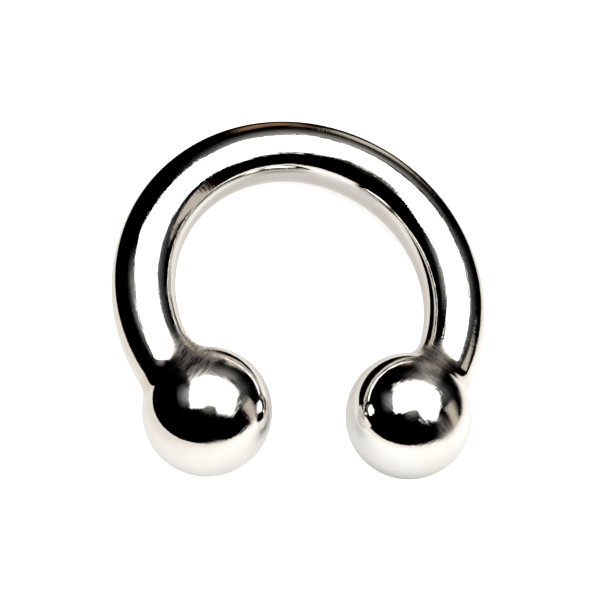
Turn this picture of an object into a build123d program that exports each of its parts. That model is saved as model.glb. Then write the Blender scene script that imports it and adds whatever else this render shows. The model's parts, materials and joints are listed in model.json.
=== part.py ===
from build123d import *
import os
from math import acos, asin, cos, degrees, sin, sqrt

# An open ring of solid polished steel: a round bar bent to one circular arc, with a ball welded on each end.
# Lengths are millimetres. +Z is up, the gap faces -Y, and the origin is on the table under the middle.
# The pieces are drawn in the ring's own plane, centred on the ring, and are laid down together at the end.

# Sizes that set the shape.
BAR_DIAMETER = 10.0
INSIDE_DIAMETER = 41.2
BALL_DIAMETER = 20.0
BALL_GAP = 12.4
NECK_RADIUS = 4.5

# How each ball is joined on: a turned spigot in a blind socket, and a weld filling a groove round its root.
SPIGOT_DIAMETER = 6.0
SPIGOT_LENGTH = 8.0
SPIGOT_CHAMFER = 0.5
SOCKET_CLEARANCE = 0.05
SOCKET_END_GAP = 0.6
ROOT_LAND = 0.8
WELD_MARGIN = 0.7
CUTTER_SPARE = 1.0

# Radii, and the places of the balls' centres, which lie on the bar's centre line.
bar_radius = BAR_DIAMETER / 2
ball_radius = BALL_DIAMETER / 2
spigot_radius = SPIGOT_DIAMETER / 2
root_radius = spigot_radius + ROOT_LAND
line_radius = INSIDE_DIAMETER / 2 + bar_radius
ball_x = BALL_GAP / 2 + ball_radius
ball_angle = asin(ball_x / line_radius)
ball_y = -line_radius * cos(ball_angle)


def corner_angle(side_a, side_b, opposite):
    """Corner of a triangle between two of its sides, in radians."""
    return acos((side_a**2 + side_b**2 - opposite**2) / (2 * side_a * side_b))


# Each ball has a flat spot face, square to the bar. Its rim clears the foot of the neck by the weld margin
# on the ring's outer side, where the two come nearest.
neck_foot = (bar_radius + NECK_RADIUS) * ball_radius / (ball_radius + NECK_RADIUS)
face_angle = corner_angle(line_radius, line_radius + neck_foot + WELD_MARGIN, ball_radius)
face_distance = line_radius * sin(face_angle)
face_radius = sqrt(ball_radius**2 - face_distance**2)
ball_shift = line_radius * (1 - cos(face_angle))
bar_end_angle = ball_angle + face_angle

# The neck reaches furthest up the bar on the ring's inner side, so that is where the groove gets its length.
inner_radius = line_radius - bar_radius
neck_top_angle = corner_angle(line_radius, inner_radius - NECK_RADIUS, ball_radius + NECK_RADIUS)
groove_length = inner_radius * sin(neck_top_angle - face_angle) + WELD_MARGIN
groove_radius = face_radius + ball_shift + CUTTER_SPARE

# At rest both balls and the far side of the bar touch the table.
rest_tilt = asin((ball_radius - bar_radius) / (line_radius - ball_y))
far_y = line_radius * cos(rest_tilt) + bar_radius
near_y = ball_y * cos(rest_tilt) - ball_radius
rest_height = line_radius * sin(rest_tilt) + bar_radius
rest_place = Pos(0, -(far_y + near_y) / 2, rest_height) * Rot(X=-degrees(rest_tilt))


def bar_end(side):
    """Plane of a spot face: origin on the bar's centre line, X outward from the ring and Z into the ball."""
    outward = Vector(side * sin(bar_end_angle), -cos(bar_end_angle), 0)
    into_ball = Vector(outward.Y, -outward.X, 0) * side
    return Plane(origin=outward * line_radius, x_dir=outward, z_dir=into_ball)


def rod(radius, start, end):
    """Cylinder along Z, from one height to another."""
    return Pos(0, 0, (start + end) / 2) * Cylinder(radius, end - start)


def round_bar():
    """The bent bar at full thickness, from one spot face round to the other."""
    return revolve(bar_end(1) * Circle(bar_radius), Axis.Z, 360 - 2 * degrees(bar_end_angle))


def round_ball(side):
    """A whole ball. Its centre is on the bend's centre line, so it stands off the bar's end axis a little."""
    return bar_end(side) * Pos(-ball_shift, 0, face_distance) * Sphere(ball_radius)


def weld_groove(side):
    """The space round the end of the bar that a weld fills."""
    return bar_end(side) * (rod(groove_radius, -groove_length, 0) - rod(root_radius, -groove_length, 0))


def spigot(side):
    """The turned end of the bar, with a chamfered tip, that stands in the ball."""
    pin = rod(spigot_radius, 0, SPIGOT_LENGTH)
    return bar_end(side) * chamfer(pin.edges().sort_by(Axis.Z)[-1], SPIGOT_CHAMFER)


def bent_bar():
    """The bar as it is before welding: turned down in two steps at each end."""
    bar = round_bar()
    for side in (-1, 1):
        bar = bar - weld_groove(side) + spigot(side)
    return bar


def ball(side):
    """A ball with its spot face and its blind socket."""
    beyond_face = rod(groove_radius, -ball_radius, 0)
    socket = rod(spigot_radius + SOCKET_CLEARANCE, 0, SPIGOT_LENGTH + SOCKET_END_GAP)
    return round_ball(side) - bar_end(side) * (beyond_face + socket)


def neck_weld(side):
    """Weld metal, ground to a hollow neck that runs smoothly from the bar into the ball."""
    bar = round_bar()
    whole_ball = round_ball(side)
    joined = bar + whole_ball
    neck = fillet(new_edges(bar, whole_ball, combined=joined), NECK_RADIUS)
    return neck & weld_groove(side)


def write_node(name, shape):
    export_step(rest_place * shape, f"parts/{name}.step")


os.makedirs("parts", exist_ok=True)
write_node("bent_bar", bent_bar())
for side, hand in ((-1, "left"), (1, "right")):
    write_node(f"{hand}_ball", ball(side))
    write_node(f"{hand}_neck_weld", neck_weld(side))
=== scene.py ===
"""Ball-ended ring for a disentanglement puzzle: a bent steel bar with a polished ball welded to each end.

Run as a script in Blender. Every length is in metres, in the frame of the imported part, unless its name or
comment says millimetres.
"""

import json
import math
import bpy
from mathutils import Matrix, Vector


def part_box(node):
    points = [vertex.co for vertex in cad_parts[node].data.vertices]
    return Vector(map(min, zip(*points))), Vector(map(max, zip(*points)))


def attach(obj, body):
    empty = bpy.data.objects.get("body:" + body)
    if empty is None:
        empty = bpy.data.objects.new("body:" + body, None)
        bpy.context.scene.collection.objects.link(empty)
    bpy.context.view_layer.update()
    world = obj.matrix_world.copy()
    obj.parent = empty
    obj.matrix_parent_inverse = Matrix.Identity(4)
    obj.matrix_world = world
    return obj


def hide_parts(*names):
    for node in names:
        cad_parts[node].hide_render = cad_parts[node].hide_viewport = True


bl_info = {
    "name": "Ball Ended Ring",
    "version": (1, 0, 0),
    "blender": (4, 5, 0),
    "location": "View3D > Sidebar > Ball Ring",
    "description": "Builds the polished ring, its two balls, their weld necks and the studio round them",
    "category": "Object",
}

import bpy
import numpy as np
from mathutils import Matrix, Vector

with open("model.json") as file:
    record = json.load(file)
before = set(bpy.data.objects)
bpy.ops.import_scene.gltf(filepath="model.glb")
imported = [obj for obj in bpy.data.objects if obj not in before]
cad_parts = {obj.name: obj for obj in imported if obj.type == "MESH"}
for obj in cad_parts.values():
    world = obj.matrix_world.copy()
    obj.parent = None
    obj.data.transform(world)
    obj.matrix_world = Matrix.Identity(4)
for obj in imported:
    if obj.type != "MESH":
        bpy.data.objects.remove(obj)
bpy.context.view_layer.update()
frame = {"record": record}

MM = 0.001
BODY = "root"
LEFT = -1
RIGHT = 1
SIDES = ((LEFT, "left"), (RIGHT, "right"))

MOUNTS = {m["name"]: m for m in frame["record"]["mounts"]}
OPENING = MOUNTS["ring_opening"]
FAR_SIDE = MOUNTS["bar_far_side"]
LEFT_BALL_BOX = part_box("left_ball")
RIGHT_BALL_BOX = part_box("right_ball")

BAR_WIDTH = 2 * MM * FAR_SIDE["dims"]["r_mm"]
OPENING_WIDTH = 2 * MM * OPENING["dims"]["r_mm"]
BALL_WIDTH = LEFT_BALL_BOX[1].z - LEFT_BALL_BOX[0].z
BALL_GAP = RIGHT_BALL_BOX[0].x - LEFT_BALL_BOX[1].x


# ---------------------------------------------------------------- sizes and colours

class RingSizes(bpy.types.PropertyGroup):
    """Sizes of the ring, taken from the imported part."""

    bar_width: bpy.props.FloatProperty(
        name="Bar diameter", description="Diameter of the round bar",
        default=BAR_WIDTH, min=0.001, unit="LENGTH", subtype="DISTANCE", precision=4)
    opening_width: bpy.props.FloatProperty(
        name="Inside diameter", description="Clear width inside the ring",
        default=OPENING_WIDTH, min=0.005, unit="LENGTH", subtype="DISTANCE", precision=4)
    ball_width: bpy.props.FloatProperty(
        name="Ball diameter", description="Diameter of each ball",
        default=BALL_WIDTH, min=0.002, unit="LENGTH", subtype="DISTANCE", precision=4)
    ball_gap: bpy.props.FloatProperty(
        name="Ball gap", description="Clear distance between the two balls",
        default=BALL_GAP, min=0.0, unit="LENGTH", subtype="DISTANCE", precision=4)
    neck_radius: bpy.props.FloatProperty(
        name="Neck radius", description="Radius of the dressed weld between bar and ball",
        default=0.0045, min=0.0002, unit="LENGTH", subtype="DISTANCE", precision=4)
    around: bpy.props.IntProperty(
        name="Steps round the bar", description="Mesh steps round the bar's section",
        default=144, min=24, max=360)
    along: bpy.props.IntProperty(
        name="Steps along the bar", description="Mesh steps along the bent bar",
        default=300, min=48, max=900)


class RingFinish(bpy.types.PropertyGroup):
    """Colours and surface finish of the steel."""

    bar_tint: bpy.props.FloatVectorProperty(
        name="Bar colour", description="Reflected colour of the polished bar",
        default=(0.86, 0.84, 0.81), size=3, min=0.0, max=1.0, subtype="COLOR")
    ball_tint: bpy.props.FloatVectorProperty(
        name="Ball colour", description="Reflected colour of the polished balls",
        default=(0.87, 0.85, 0.82), size=3, min=0.0, max=1.0, subtype="COLOR")
    neck_tint: bpy.props.FloatVectorProperty(
        name="Neck colour", description="Reflected colour of the brushed necks",
        default=(0.82, 0.76, 0.69), size=3, min=0.0, max=1.0, subtype="COLOR")
    polish: bpy.props.FloatProperty(
        name="Polished roughness", description="Roughness of the mirror polish",
        default=0.025, min=0.0, max=1.0, subtype="FACTOR")
    scratch: bpy.props.FloatProperty(
        name="Scratch roughness", description="Roughness inside the fine buffing scratches",
        default=0.2, min=0.0, max=1.0, subtype="FACTOR")
    brushed: bpy.props.FloatProperty(
        name="Brushed roughness", description="Roughness of the brushed steel at the necks",
        default=0.42, min=0.0, max=1.0, subtype="FACTOR")


class StudioLook(bpy.types.PropertyGroup):
    """Light, white board and camera of the studio."""

    panel_glow: bpy.props.FloatProperty(
        name="Panel brightness", description="Brightness of the overhead panel as the metal sees it",
        default=2.6, min=0.0)
    board_glow: bpy.props.FloatProperty(
        name="Board brightness", description="Brightness of the white board as the metal sees it",
        default=0.415, min=0.0)
    board_lean: bpy.props.FloatProperty(
        name="Board lean away", description="Lean of the white board's face away from the balls",
        default=math.radians(32), subtype="ANGLE", unit="ROTATION")
    board_side: bpy.props.FloatProperty(
        name="Board lean aside", description="Lean of the white board's face to the left",
        default=math.radians(10), subtype="ANGLE", unit="ROTATION")
    board_reach: bpy.props.FloatProperty(
        name="Board reach", description="Distance from the ring to the edge of the white board",
        default=0.115, min=0.01, unit="LENGTH", subtype="DISTANCE")
    view_azimuth: bpy.props.FloatProperty(
        name="Camera azimuth", description="Camera's turn round the ring, from the ball side",
        default=math.radians(-42.62), subtype="ANGLE", unit="ROTATION")
    view_height: bpy.props.FloatProperty(
        name="Camera elevation", description="Camera's angle above the floor",
        default=math.radians(68.76), subtype="ANGLE", unit="ROTATION")
    view_roll: bpy.props.FloatProperty(
        name="Camera roll", description="Camera's turn about its own line of sight",
        default=math.radians(42.85), subtype="ANGLE", unit="ROTATION")
    view_distance: bpy.props.FloatProperty(
        name="Camera distance", description="Distance from the camera to the ring's centre",
        default=0.2817, min=0.05, unit="LENGTH", subtype="DISTANCE")
    lens: bpy.props.FloatProperty(
        name="Focal length", description="Focal length on a 36 mm sensor",
        default=105.9, min=10.0, unit="CAMERA")


# ---------------------------------------------------------------- the ring's geometry

class RingShape:
    """Where the bar, balls and necks lie, worked out from the ring's sizes."""

    def __init__(self, sizes):
        self.bar = sizes.bar_width / 2
        self.ball = sizes.ball_width / 2
        self.neck = sizes.neck_radius
        self.line = sizes.opening_width / 2 + self.bar
        self.ball_angle = math.asin((sizes.ball_gap / 2 + self.ball) / self.line)
        self.origin = np.array(OPENING["pos_m"])
        axis = np.array(OPENING["axis"])
        self.upward = axis / np.linalg.norm(axis)
        self.across = np.array([1.0, 0.0, 0.0])
        self.away = np.cross(self.upward, self.across)
        self.theta = np.linspace(0, 2 * math.pi, sizes.around, endpoint=False)

    def turn(self, vectors):
        """Turns directions from the ring's own plane to the world."""
        return np.asarray(vectors) @ np.array([self.across, self.away, self.upward])

    def world(self, points):
        """Moves points from the ring's own plane to where the ring lies."""
        return self.origin + self.turn(points)

    @staticmethod
    def polar(radius, angle, height):
        """A point in the ring's plane; the angle starts at the ball gap and grows to the left."""
        radius, angle, height = np.broadcast_arrays(radius, angle, height)
        return np.stack([-radius * np.sin(angle), -radius * np.cos(angle), height], axis=-1)

    def ball_centre(self):
        """Centre of the left ball in the ring's plane."""
        return self.polar(self.line, self.ball_angle, 0.0)

    def bar_way(self):
        """Unit direction from the left ball's centre along the bar."""
        return np.array([-math.cos(self.ball_angle), math.sin(self.ball_angle), 0.0])

    def neck_angle(self):
        """Ring angle of the neck fillet's centre for each step round the bar."""
        out = self.bar + self.neck
        radius = self.line + out * np.cos(self.theta)
        height = out * np.sin(self.theta)
        reach = self.ball + self.neck
        cosine = (radius**2 + self.line**2 + height**2 - reach**2) / (2 * radius * self.line)
        return self.ball_angle + np.arccos(cosine)

    def round_bar(self, out):
        """Points at a distance out from the bar's centre line, at the neck fillet's ring angles."""
        return self.polar(self.line + out * np.cos(self.theta), self.neck_angle(), out * np.sin(self.theta))

    def fillet_centre(self):
        """Centre of the fillet's rolling circle for each step round the bar."""
        return self.round_bar(self.bar + self.neck)

    def bar_edge(self):
        """Points where the fillet meets the bar."""
        return self.round_bar(self.bar)

    def ball_edge(self):
        """Unit directions from the left ball's centre to where the fillet meets the ball."""
        way = self.fillet_centre() - self.ball_centre()
        return way / np.linalg.norm(way, axis=-1, keepdims=True)


def slerp(start, end, share):
    """Turns unit vectors start towards end by a share of the angle between them."""
    start, end = np.broadcast_arrays(start, end)
    angle = np.arccos(np.clip((start * end).sum(-1, keepdims=True), -1, 1))
    sine = np.maximum(np.sin(angle), 1e-9)
    return (start * np.sin((1 - share) * angle) + end * np.sin(share * angle)) / sine


def mirrored(points, side):
    """The left side's points, or their mirror image for the right side."""
    return points * np.array([-side, 1.0, 1.0])


def toward(right_degrees, away_degrees):
    """Unit direction that leans from straight up by some degrees to the right and some away."""
    lean = math.radians(math.hypot(right_degrees, away_degrees))
    heading = math.atan2(away_degrees, right_degrees)
    flat = math.sin(lean)
    return np.array([flat * math.cos(heading), flat * math.sin(heading), math.cos(lean)])


def mesh_object(name, vertices, faces, directions=None):
    """Puts a mesh in the scene, smooth where directions give the normals."""
    mesh = bpy.data.meshes.new(name)
    mesh.from_pydata([tuple(map(float, v)) for v in vertices], [], faces)
    mesh.validate()
    mesh.update()
    if directions is not None:
        mesh.shade_smooth()
        mesh.normals_split_custom_set_from_vertices([tuple(map(float, d)) for d in directions])
    made = bpy.data.objects.new(name, mesh)
    bpy.context.scene.collection.objects.link(made)
    return made


def skin(name, rows, normals, first, last):
    """A closed mesh over rings of points, with a fan to the points first and last, and smooth normals."""
    count, around = rows.shape[:2]
    vertices = np.concatenate([rows.reshape(-1, 3), [first[0]], [last[0]]])
    directions = np.concatenate([normals.reshape(-1, 3), [first[1]], [last[1]]])
    row, step = np.meshgrid(np.arange(count - 1), np.arange(around), indexing="ij")
    step_next = (step + 1) % around
    quads = np.stack([
        row * around + step,
        row * around + step_next,
        (row + 1) * around + step_next,
        (row + 1) * around + step,
    ], axis=-1).reshape(-1, 4)
    ring = np.arange(around)
    ring_next = (ring + 1) % around
    last_row = (count - 1) * around
    first_tip = np.full(around, count * around)
    start_fan = np.stack([first_tip, ring_next, ring], axis=-1)
    end_fan = np.stack([first_tip + 1, last_row + ring, last_row + ring_next], axis=-1)
    faces = [list(map(int, f)) for part in (quads, start_fan, end_fan) for f in part]
    if volume_sign(vertices, quads) < 0:
        faces = [f[::-1] for f in faces]
    return mesh_object(name, vertices, faces, directions)


def volume_sign(vertices, quads):
    """Above 0 where the quads, taken together, face outward."""
    corner = vertices[quads]
    area = np.cross(corner[:, 2] - corner[:, 0], corner[:, 3] - corner[:, 1])
    return (area * (corner.mean(axis=1) - vertices.mean(axis=0))).sum()


# ---------------------------------------------------------------- node trees

class Wire:
    """A socket of a node tree that takes part in Python arithmetic."""

    def __init__(self, bench, socket):
        self.bench = bench
        self.socket = socket

    def _maths(self, operation, *values):
        return self.bench.node("ShaderNodeMath", {"operation": operation}, dict(enumerate(values)))

    def __add__(self, other):
        return self._maths("ADD", self, other)

    def __radd__(self, other):
        return self._maths("ADD", other, self)

    def __sub__(self, other):
        return self._maths("SUBTRACT", self, other)

    def __rsub__(self, other):
        return self._maths("SUBTRACT", other, self)

    def __mul__(self, other):
        return self._maths("MULTIPLY", self, other)

    def __rmul__(self, other):
        return self._maths("MULTIPLY", other, self)

    def __truediv__(self, other):
        return self._maths("DIVIDE", self, other)

    def __rtruediv__(self, other):
        return self._maths("DIVIDE", other, self)

    def root(self):
        return self._maths("SQRT", self)

    def size(self):
        return self._maths("ABSOLUTE", self)

    def turned(self, other):
        """The angle whose tangent is this over the other."""
        return self._maths("ARCTAN2", self, other)

    def most(self, other):
        return self._maths("MAXIMUM", self, other)

    def least(self, other):
        return self._maths("MINIMUM", self, other)

    def rise(self, low, high):
        """0 below low, 1 above high and smooth between them; high may be the lower one."""
        return self.bench.node("ShaderNodeMapRange", {"interpolation_type": "SMOOTHSTEP"},
                               {"Value": self, "From Min": low, "From Max": high})


class Bench:
    """The node tree of one material or world."""

    def __init__(self, tree):
        self.tree = tree
        tree.nodes.clear()

    def node(self, kind, settings=None, inputs=None, output=0):
        """Adds a node: its settings first, then the values or links of its sockets."""
        made = self.tree.nodes.new(kind)
        for key, value in (settings or {}).items():
            setattr(made, key, value)
        for key, value in (inputs or {}).items():
            if isinstance(value, Wire):
                self.tree.links.new(value.socket, made.inputs[key])
            else:
                made.inputs[key].default_value = value
        return Wire(self, made.outputs[output]) if len(made.outputs) else None

    def vector(self, operation, *values, output=0):
        settings = {"operation": operation}
        return self.node("ShaderNodeVectorMath", settings, dict(enumerate(values)), output)

    def lean(self, vector, way):
        """How far a vector reaches in the direction of way."""
        return self.vector("DOT_PRODUCT", vector, tuple(map(float, way)), output="Value")

    def distance(self, place, point):
        """Distance from a point, in millimetres."""
        return self.vector("DISTANCE", place, tuple(map(float, point)), output="Value") / MM

    def parts(self, vector):
        """The three numbers of a vector."""
        split = self.node("ShaderNodeSeparateXYZ", None, {0: vector}).socket.node
        return [Wire(self, socket) for socket in split.outputs]

    def joined(self, x, y, z):
        return self.node("ShaderNodeCombineXYZ", None, {0: x, 1: y, 2: z})

    def noise(self, vector, scale, detail=2.0, roughness=0.5):
        return self.node("ShaderNodeTexNoise", None,
                         {"Vector": vector, "Scale": scale, "Detail": detail, "Roughness": roughness})

    def blend(self, share, one, two):
        """Mixes two colours."""
        return self.node("ShaderNodeMix", {"data_type": "RGBA"}, {0: share, 6: one, 7: two}, 2)

    def bump(self, depth, height, **under):
        """Bump of a depth in metres, over another bump where under names one."""
        return self.node("ShaderNodeBump", None,
                         {"Strength": 1.0, "Distance": depth, "Height": height, **under})


def new_material(name):
    """A material and the bench of its empty node tree."""
    material = bpy.data.materials.new(name)
    material.use_nodes = True
    return material, Bench(material.node_tree)


def colour(tint, share=1.0):
    return tuple(c * share for c in tint) + (1.0,)


# ---------------------------------------------------------------- finish of the steel

# Fineness of the patterns, in cycles per metre.
SWELLS = 75.0
PATCHES = 160.0
SMUDGES = 420.0
GRIT = 2600.0

# Fineness of the streaks, in cycles per millimetre along the streak and across it.
LINES = (0.25, 3.0)
MARKS = (0.35, 4.0)

# Depths of the bump, in metres, and the share of each pattern in it: all over, then what is added on top
# and at the necks.
SWELL_DEPTH = 0.00012
MARK_DEPTH = 0.00001
MARK_RELIEF = (0.22, 3.2, 4.0)
LINE_RELIEF = (0.2, 2.6)
GRIT_RELIEF = 0.2

# How far the worn patches and the necks take on the neck's colour, and the share of it that shows there.
WORN_TARNISH = 0.3
NECK_TARNISH = 0.5
TARNISH_SHARE = 0.95

# Roughness that smudges add, the share of the scratch roughness that shows, and the share of the brushed
# roughness at the necks: all over, and more in the marks.
SMUDGE_ROUGH = 0.015
SCRATCH_SHARE = 0.4
BRUSHED_SHARE = (0.34, 0.5)

# Where each pattern's noise starts to show and where it shows in full.
WORN_SPAN = (0.42, 0.66)
SMUDGE_SPAN = (0.45, 0.8)
LINE_SPAN = (0.6, 0.75)
MARK_SPAN = (0.35, 0.65)

# The heights, as shares of the radius, where the deeper marks on top start and are full.
TOP_SPAN = (0.55, 0.88)

# The root of each neck is buffed round a spot that lies in from the bar's line and above it, by shares of
# the bar's radius, and on from the ball by an angle in radians. The last two are reaches in millimetres.
ROOT_IN = 0.6
ROOT_UP = 0.8
ROOT_ON = 0.34
ROOT_FULL = 2.2
ROOT_GONE = 6.4

# The balls' buffed spots: their leans from straight up, in degrees to the right and away, then how far from
# the middle each is still full and where it is gone, in millimetres.
BALL_SPOTS = {
    LEFT: [(-16.0, 35.0, 2.4, 4.4)],
    RIGHT: [(8.0, 39.0, 2.4, 4.4), (18.0, -25.0, 0.4, 3.4)],
}

# How far the patches and the turning marks fray the edge of a buffed spot, in millimetres.
FRAY_BY_PATCHES = 5.0
FRAY_BY_MARKS = 4.0


def buffed_spots(shape):
    """Middle, full reach and end of every hand-buffed spot."""
    for side, _ in SIDES:
        radius = shape.line - ROOT_IN * shape.bar
        root = shape.polar(radius, shape.ball_angle + ROOT_ON, ROOT_UP * shape.bar)
        yield shape.world(mirrored(root, side)), ROOT_FULL, ROOT_GONE
        centre = shape.world(mirrored(shape.ball_centre(), side))
        for right, away, full, gone in BALL_SPOTS[side]:
            yield centre + shape.ball * toward(right, away), full, gone


def steel(name, tint, shape, finish, lathe_marks):
    """Polished steel with fine buffing scratches, going over to brushed steel round the necks."""
    material, bench = new_material(name)
    place = bench.node("ShaderNodeTexCoord", None, None, "Object")
    local = bench.vector("SUBTRACT", place, tuple(shape.origin))
    across = bench.lean(local, shape.across)
    away = bench.lean(local, shape.away)
    height = bench.lean(local, shape.upward) / MM
    radius = (across * across + away * away).root() / MM
    along = across.turned(away) * (shape.line / MM)

    # the same pattern of turning marks serves both ends, measured from the ball along the bar
    right, back, up = bench.parts(local)
    one_side = bench.joined(right.size(), back, up)
    ball = shape.turn(mirrored(shape.ball_centre(), RIGHT))
    from_ball = bench.vector("SUBTRACT", one_side, tuple(map(float, ball)))
    turned = bench.lean(from_ball, shape.turn(mirrored(shape.bar_way(), RIGHT))) / MM
    grain = turned if lathe_marks else along

    patches = bench.noise(place, PATCHES, 2.0)
    smudges = bench.noise(place, SMUDGES, 3.0)
    lines = bench.noise(bench.joined(along * LINES[0], radius * LINES[1], height * LINES[1]), 1.0, 3.0, 0.6)
    marks = bench.noise(bench.joined(grain * MARKS[1], radius * MARKS[0], height * MARKS[0]), 1.0, 2.0, 0.6)
    grit = bench.noise(place, GRIT, 2.0, 0.6)
    swells = bench.noise(place, SWELLS, 1.0)

    worn = patches.rise(*WORN_SPAN)
    fray = (patches - 0.5) * FRAY_BY_PATCHES + (marks - 0.5) * FRAY_BY_MARKS
    neck = None
    for spot, full, gone in buffed_spots(shape):
        near = (bench.distance(place, spot) + fray).rise(gone, full)
        neck = near if neck is None else neck.most(near)

    smudged = smudges.rise(*SMUDGE_SPAN) * SMUDGE_ROUGH
    scratched = lines.rise(*LINE_SPAN) * worn * (finish.scratch - finish.polish) * SCRATCH_SHARE
    in_marks = BRUSHED_SHARE[0] + marks.rise(*MARK_SPAN) * BRUSHED_SHARE[1]
    rough = finish.polish + smudged + scratched + neck * (finish.brushed * in_marks)
    tarnish = worn * WORN_TARNISH + neck * NECK_TARNISH
    base = bench.blend(tarnish, colour(tint), colour(finish.neck_tint, TARNISH_SHARE))

    # the marks are deeper on top, where the metal was buffed last
    top = (height * (MM / (shape.ball if lathe_marks else shape.bar))).rise(*TOP_SPAN)
    upper = top * (worn * 0.7 + 0.3)
    marked = marks * (MARK_RELIEF[0] + upper * MARK_RELIEF[1] + neck * MARK_RELIEF[2])
    lined = lines * (LINE_RELIEF[0] + upper * LINE_RELIEF[1])
    relief = marked + lined + grit * GRIT_RELIEF
    bump = bench.bump(MARK_DEPTH, relief, Normal=bench.bump(SWELL_DEPTH, swells))
    shader = bench.node("ShaderNodeBsdfPrincipled", None,
                        {"Base Color": base, "Metallic": 1.0, "Roughness": rough, "Normal": bump})
    bench.node("ShaderNodeOutputMaterial", None, {"Surface": shader})
    return material


def dress(piece, material, slot, *nodes):
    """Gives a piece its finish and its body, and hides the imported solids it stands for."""
    piece.data.materials.append(material)
    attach(piece, BODY)
    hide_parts(*nodes)


# ---------------------------------------------------------------- operators: the pieces

# Mesh rows on a ball, under the bar's end and from the neck to the far pole, and across a neck's hollow.
ROWS_UNDER_BAR = 14
ROWS_ON_BALL = 84
ROWS_ON_NECK = 25

# How near the rows under the bar's end come to the pole, and how the bar's own end tapers into the ball.
POLE_SHARE = 0.92
TAPER = (0.2, 0.45, 0.7)

# The hidden inner side of a neck: its rows, and the share of the way to the bar's middle that it lies in.
ROWS_INSIDE_NECK = 5
NECK_DEPTH = 0.25


class RING_OT_bar(bpy.types.Operator):
    """Build the round bar bent to an open ring"""

    bl_idname = "ring.bar"
    bl_label = "Bent Bar"

    def execute(self, context):
        shape = RingShape(context.scene.ring_sizes)
        steps = np.linspace(LEFT, RIGHT, context.scene.ring_sizes.along + 1)[:, None]
        angle = math.pi + steps * (math.pi - shape.neck_angle())[None, :]
        cosine = np.cos(shape.theta)
        sine = np.sin(shape.theta)
        rows = shape.polar(shape.line + shape.bar * cosine, angle, shape.bar * sine)
        normals = shape.polar(cosine, angle, sine)
        tips = []
        ends = []
        for side, row in ((LEFT, 0), (RIGHT, -1)):
            tip = mirrored(shape.ball_centre(), side)
            tips.append((shape.world(tip), (0, -1, 0)))
            ends.append([rows[row] + (tip - rows[row]) * share for share in TAPER])
        rows = np.concatenate([ends[0][::-1], rows, ends[1]])
        normals = np.concatenate([[normals[0]] * len(TAPER), normals, [normals[-1]] * len(TAPER)])
        bar = skin("ring_bar", shape.world(rows), shape.turn(normals), *tips)
        finish = context.scene.ring_finish
        material = steel("polished_bar_steel", finish.bar_tint, shape, finish, False)
        dress(bar, material, "polished_bar", "bent_bar")
        return {"FINISHED"}


class RING_OT_balls(bpy.types.Operator):
    """Build the two balls"""

    bl_idname = "ring.balls"
    bl_label = "Balls"

    def execute(self, context):
        shape = RingShape(context.scene.ring_sizes)
        finish = context.scene.ring_finish
        material = steel("polished_ball_steel", finish.ball_tint, shape, finish, True)
        edge = shape.ball_edge()
        bar_way = shape.bar_way()
        near = [slerp(edge, bar_way, share) for share in np.linspace(POLE_SHARE, 0.0, ROWS_UNDER_BAR)]
        far = [slerp(edge, -bar_way, share) for share in np.linspace(0, 1, ROWS_ON_BALL)[1:-1]]
        directions = np.array(near + far)
        for side, word in SIDES:
            ways = shape.turn(mirrored(directions, side))
            middle = shape.world(mirrored(shape.ball_centre(), side))
            poles = [shape.turn(mirrored(pole, side)) for pole in (bar_way, -bar_way)]
            tips = [(middle + pole * shape.ball, pole) for pole in poles]
            ball = skin(f"{word}_steel_ball", middle + ways * shape.ball, ways, *tips)
            dress(ball, material, "polished_ball", f"{word}_ball")
        return {"FINISHED"}


class RING_OT_necks(bpy.types.Operator):
    """Build the dressed weld at each neck"""

    bl_idname = "ring.necks"
    bl_label = "Weld Necks"

    def execute(self, context):
        shape = RingShape(context.scene.ring_sizes)
        finish = context.scene.ring_finish
        material = steel("brushed_neck_steel", finish.neck_tint, shape, finish, True)
        centre = shape.fillet_centre()
        start = (shape.bar_edge() - centre) / shape.neck
        end = (shape.ball_centre() + shape.ball_edge() * shape.ball - centre) / shape.neck
        arc = np.array([slerp(start, end, share) for share in np.linspace(0, 1, ROWS_ON_NECK)])
        outer = centre + arc * shape.neck
        line = shape.polar(shape.line, shape.neck_angle(), 0.0)
        inner = []
        for share in np.linspace(1, 0, ROWS_INSIDE_NECK):
            row = outer[0] + (outer[-1] - outer[0]) * share
            middle = line + (shape.ball_centre() - line) * share * 0.5
            inner.append(row + (middle - row) * NECK_DEPTH)
        rows = np.concatenate([outer, inner])
        normals = np.concatenate([-arc, arc[:1].repeat(len(inner), axis=0)])
        for side, word in SIDES:
            band = self.band(f"{word}_neck", shape, mirrored(rows, side), mirrored(normals, side), side)
            dress(band, material, "brushed_neck", f"{word}_neck_weld")
        return {"FINISHED"}

    @staticmethod
    def band(name, shape, rows, normals, side):
        """A closed band whose last ring of points joins back to its first."""
        count, around = rows.shape[:2]
        faces = []
        for row in range(count):
            here = row * around
            below = (row + 1) % count * around
            for step in range(around):
                step_next = (step + 1) % around
                face = [here + step, here + step_next, below + step_next, below + step]
                faces.append(face if side == RIGHT else face[::-1])
        vertices = shape.world(rows).reshape(-1, 3)
        return mesh_object(name, vertices, faces, shape.turn(normals).reshape(-1, 3))


# ---------------------------------------------------------------- the studio's cards

# Streaks over a card, counted along its bright edge and across to the opposite one.
CARD_STREAKS = (40.0, 5.0)


def card_place(bench):
    """A card's own two coordinates, each from 0 to 1, and fine streaks over it."""
    corner = bench.node("ShaderNodeTexCoord", None, None, "UV")
    side, out, _ = bench.parts(corner)
    streaks = bench.joined(side * CARD_STREAKS[0], out * CARD_STREAKS[1], 0.0)
    return side, out, bench.noise(streaks, 1.0, 3.0, 0.6)


def outward(bench):
    """Brightest along the first edge, gone at the opposite one, soft at the two ends and streaky."""
    side, out, streaks = card_place(bench)
    ends = side.least(1 - side).rise(0.0, 0.45)
    return out.rise(1.0, -0.15) * ends * (streaks * 2.2 - 0.1)


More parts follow.
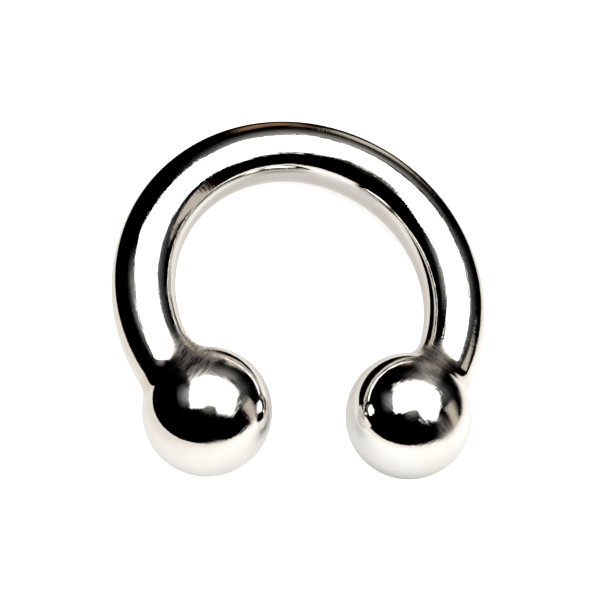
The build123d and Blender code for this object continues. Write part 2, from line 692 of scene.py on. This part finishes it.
def soft_edged(bench):
    """Brightest in the middle and gone at every edge."""
    side, out, streaks = card_place(bench)
    ends = side.least(1 - side).rise(0.0, 0.3)
    return out.least(1 - out).rise(0.0, 0.35) * ends * (streaks * 0.5 + 0.75)


# Things round the studio that show in the metal: name, distance, colour, brightness, fade, and four corners
# as leans from straight up, in degrees to the right and away. An outward card's first two corners are its
# bright edge. The cards at 0.9 lie behind the panel.
CARDS = (
    ("beige_side", 0.46, (0.57, 0.52, 0.45), 1.0, None,
     [(48, 0), (65, 17), (85, -15), (78, -32)]),
    ("rust_side", 0.48, (0.16, 0.035, 0.01), 0.35, outward,
     [(50, 0), (79, -32), (72, -38), (44, -6)]),
    ("beige_back", 0.5, (0.62, 0.56, 0.48), 1.0, soft_edged,
     [(28, 74), (66, 62), (72, 92), (28, 104)]),
    ("brown_back", 0.5, (0.26, 0.15, 0.08), 1.0, soft_edged,
     [(-6, 88), (34, 88), (34, 120), (-6, 118)]),
    ("haze_left", 0.9, (0.94, 0.97, 0.98), 0.5, outward,
     [(-37, -6), (-39, 40), (-64, 46), (-61, -8)]),
    ("haze_right", 0.9, (0.88, 0.95, 0.94), 0.2, outward,
     [(34, 50), (37, 6), (64, 2), (72, 50)]),
    ("haze_back", 0.9, (1.0, 0.97, 0.93), 0.4, outward,
     [(-14, 48), (52, 38), (60, 62), (-26, 72)]),
    ("haze_notch", 0.9, (0.95, 1.0, 0.92), 0.42, outward,
     [(-30, 2), (12, 2), (8, -20), (-26, -18)]),
)
CARD_PLACES = ((0, 0), (1, 0), (1, 1), (0, 1))

# The overhead panel, by its distance, its lean away and its outline as shares of that distance. A stand
# cuts into its near edge.
PANEL_DISTANCE = 0.45
PANEL_LEAN = math.radians(18)
PANEL_COLOUR = (1.0, 1.0, 0.99)
PANEL_OUTLINE = (
    (-0.96, -0.48), (-0.36, -0.47), (-0.28, -0.38), (0.0, -0.40), (0.08, -0.56), (0.14, -0.69),
    (0.79, -0.76), (0.82, 0.24), (0.56, 0.46), (0.12, 0.60), (-0.74, 0.68),
)

# The white board: steps round its edge, the air under the balls, and its three tones. Its colour holds a
# painted pool of light, palest near one place and going over to a darker, warmer tone further out, and a
# painted shade under the ring with a wavy edge. The ends, the full reaches and the sway are in millimetres.
BOARD_STEPS = 64
BOARD_AIR = 0.00002
BOARD_LIGHT_POOL = (1.0, 1.0, 0.99)
BOARD_DIM_WARM = (1.0, 0.955, 0.895)
BOARD_SHADE = (1.0, 0.96, 0.92)
DIM_WARM_SHARE = 0.74
SHADE_SHARE = 0.68
LIGHT_POOL_PLACE = (0.018, -0.035, 0.0)
LIGHT_POOL_END = 28.0
DIM_WARM_FULL = 92.0
SHADE_PLACE = (0.0, 0.016, 0.0)
SHADE_FULL = 22.0
SHADE_END = 52.0
SHADE_WAVES = 25.0
SHADE_SWAY = 6.0

# The floor's corners and mottle, the light that floor and board get from the air, and the lamp.
FLOOR_CORNERS = ((-3, -3), (3, -3), (3, 3), (-3, 3))
FLOOR_GREY = (0.9, 0.9, 0.9)
FLOOR_CREAM = (0.93, 0.925, 0.92)
FLOOR_MOTTLE = 30.0
AIR_LIGHT = 2.8
LAMP_SIZE = 0.7
LAMP_POWER = 1.0
LAMP_PLACE = (0.05, 0.2, 0.6)

# Where the camera looks, close to the ring's middle; its sensor's width in millimetres; what it can see.
AIM = Vector((-0.000405, -0.001129, 0.007902))
SENSOR = 36
NEAREST = 0.01
FURTHEST = 20


def glow(name, tint, strength, fade=None):
    """Emission for a card; fade is a function of the bench that gives the share of the tint to show."""
    material, bench = new_material(name)
    shown = colour(tint)
    if fade is not None:
        shown = bench.node("ShaderNodeVectorMath", {"operation": "SCALE"}, {0: tint, "Scale": fade(bench)})
    light = bench.node("ShaderNodeEmission", None, {"Color": shown, "Strength": strength})
    bench.node("ShaderNodeOutputMaterial", None, {"Surface": light})
    return material


def matt(name, rough, paint):
    """Paint without any gloss; paint is a function of the bench and the place that gives its colour."""
    material, bench = new_material(name)
    place = bench.node("ShaderNodeTexCoord", None, None, "Object")
    shader = bench.node("ShaderNodeBsdfPrincipled", None,
                        {"Base Color": paint(bench, place), "Roughness": rough, "Specular IOR Level": 0.0})
    bench.node("ShaderNodeOutputMaterial", None, {"Surface": shader})
    return material


def card(name, corners, material):
    """A flat card that shows in the polished metal and nowhere else."""
    made = mesh_object(name, corners, [list(range(len(corners)))])
    made.data.materials.append(material)
    made.visible_camera = False
    made.visible_diffuse = False
    made.visible_shadow = False
    made.visible_transmission = False
    return made


# ---------------------------------------------------------------- operator: the studio

class RING_OT_studio(bpy.types.Operator):
    """Set up the floor, the lights, the cards and the camera"""

    bl_idname = "ring.studio"
    bl_label = "Studio"

    def execute(self, context):
        look = context.scene.studio_look
        shape = RingShape(context.scene.ring_sizes)
        self.floor()
        self.air(context.scene)
        self.panel(look)
        self.board(look, shape)
        self.cards()
        self.lamp(context.scene)
        self.camera(context.scene, look)
        context.scene.view_settings.view_transform = "Standard"
        return {"FINISHED"}

    def floor(self):
        """A plain pale floor, which doesn't show in the metal."""
        corners = [(x, y, 0) for x, y in FLOOR_CORNERS]
        floor = mesh_object("floor", corners, [[0, 1, 2, 3]])
        floor.data.materials.append(matt("pale_floor", 0.9, self.floor_paint))
        floor.visible_glossy = False
        floor.visible_diffuse = False
        floor.visible_shadow = False

    @staticmethod
    def floor_paint(bench, place):
        return bench.blend(bench.noise(place, FLOOR_MOTTLE, 3.0), colour(FLOOR_GREY), colour(FLOOR_CREAM))

    def air(self, scene):
        """White to the camera and brighter to the floor and the board, black in the metal."""
        scene.world = bpy.data.worlds.new("studio_air")
        scene.world.use_nodes = True
        bench = Bench(scene.world.node_tree)
        seen = bench.node("ShaderNodeLightPath", None, None, "Is Camera Ray")
        lit = bench.node("ShaderNodeLightPath", None, None, "Is Diffuse Ray")
        air = bench.node("ShaderNodeBackground", None,
                         {"Color": (1, 1, 1, 1), "Strength": seen + lit * AIR_LIGHT})
        bench.node("ShaderNodeOutputWorld", None, {"Surface": air})

    def panel(self, look):
        """The overhead soft panel."""
        facing = np.array([0, math.sin(PANEL_LEAN), math.cos(PANEL_LEAN)])
        right = np.array([1.0, 0, 0])
        back = np.cross(facing, right)
        corners = [(facing + right * u + back * v) * PANEL_DISTANCE for u, v in PANEL_OUTLINE]
        card("overhead_panel", corners, glow("panel_glow", PANEL_COLOUR, look.panel_glow))

    def board(self, look, shape):
        """The leaning white board that both balls touch."""
        normal = toward(-math.degrees(look.board_side), math.degrees(look.board_lean))
        right = np.cross([0.0, 1.0, 0.0], normal)
        right /= np.linalg.norm(right)
        back = np.cross(normal, right)
        lowest = min(normal @ shape.world(mirrored(shape.ball_centre(), side)) for side, _ in SIDES)
        middle = normal * (lowest - shape.ball - BOARD_AIR)
        outline = []
        for step in range(BOARD_STEPS):
            turn = math.tau * step / BOARD_STEPS
            outline.append(middle + (right * math.cos(turn) + back * math.sin(turn)) * look.board_reach)

        def paint(bench, place):
            # painted pool of light: palest near one place, darker and warmer further out
            far = bench.distance(place, LIGHT_POOL_PLACE).rise(LIGHT_POOL_END, DIM_WARM_FULL)
            lit_tone = bench.blend(far, colour(BOARD_LIGHT_POOL, look.board_glow),
                               colour(BOARD_DIM_WARM, look.board_glow * DIM_WARM_SHARE))
            # painted shade under the ring, with a wavy edge
            wavy = bench.distance(place, SHADE_PLACE) + bench.noise(place, SHADE_WAVES) * SHADE_SWAY
            shade = wavy.rise(SHADE_END, SHADE_FULL)
            return bench.blend(shade, lit_tone, colour(BOARD_SHADE, look.board_glow * SHADE_SHARE))

        card("white_board", outline, matt("board_painted_light_and_shade", 1.0, paint))

    def cards(self):
        """Things round the studio that show in the metal."""
        for name, distance, tint, strength, fade, leans in CARDS:
            corners = [toward(*lean) * distance for lean in leans]
            made = card(name, corners, glow(name, tint, strength, fade))
            for corner, place in zip(made.data.uv_layers.new().uv, CARD_PLACES):
                corner.vector = place

    def lamp(self, scene):
        """A soft key light for the floor."""
        light = bpy.data.lights.new("soft_key", "AREA")
        light.shape = "SQUARE"
        light.size = LAMP_SIZE
        light.energy = LAMP_POWER
        key = bpy.data.objects.new("soft_key", light)
        key.location = LAMP_PLACE
        key.rotation_euler = Vector(LAMP_PLACE).to_track_quat("Z", "Y").to_euler()
        key.visible_glossy = False
        scene.collection.objects.link(key)

    def camera(self, scene, look):
        """The camera, turned about its own line of sight after it looks at the ring."""
        data = bpy.data.cameras.new("studio_camera")
        data.sensor_width = SENSOR
        data.lens = look.lens
        data.clip_start = NEAREST
        data.clip_end = FURTHEST
        camera = bpy.data.objects.new("studio_camera", data)
        flat = math.cos(look.view_height)
        right = math.sin(look.view_azimuth) * flat
        away = -math.cos(look.view_azimuth) * flat
        back = Vector((right, away, math.sin(look.view_height)))
        place = Matrix.Translation(AIM + back * look.view_distance)
        aimed = (-back).to_track_quat("-Z", "Y").to_matrix().to_4x4()
        camera.matrix_world = place @ aimed @ Matrix.Rotation(look.view_roll, 4, "Z")
        scene.collection.objects.link(camera)
        scene.camera = camera


# ---------------------------------------------------------------- panel and registration

class RING_PT_sidebar(bpy.types.Panel):
    """Builds the ring and its studio from the sidebar"""

    bl_idname = "RING_PT_sidebar"
    bl_label = "Ball Ended Ring"
    bl_space_type = "VIEW_3D"
    bl_region_type = "UI"
    bl_category = "Ball Ring"

    def draw(self, context):
        for group in GROUPS:
            settings = getattr(context.scene, group)
            box = self.layout.box()
            for name in settings.__annotations__:
                box.prop(settings, name)
        for operator in OPERATORS:
            self.layout.operator(operator.bl_idname)


GROUPS = {"ring_sizes": RingSizes, "ring_finish": RingFinish, "studio_look": StudioLook}
OPERATORS = (RING_OT_studio, RING_OT_bar, RING_OT_balls, RING_OT_necks)


def register():
    for made in (*GROUPS.values(), *OPERATORS, RING_PT_sidebar):
        bpy.utils.register_class(made)
    for name, group in GROUPS.items():
        setattr(bpy.types.Scene, name, bpy.props.PointerProperty(type=group))


def unregister():
    for name in GROUPS:
        delattr(bpy.types.Scene, name)
    for made in (RING_PT_sidebar, *OPERATORS[::-1], *GROUPS.values()):
        bpy.utils.unregister_class(made)


def main():
    register()
    bpy.ops.ring.studio()
    bpy.ops.ring.bar()
    bpy.ops.ring.balls()
    bpy.ops.ring.necks()


if __name__ == "__main__":
    main()
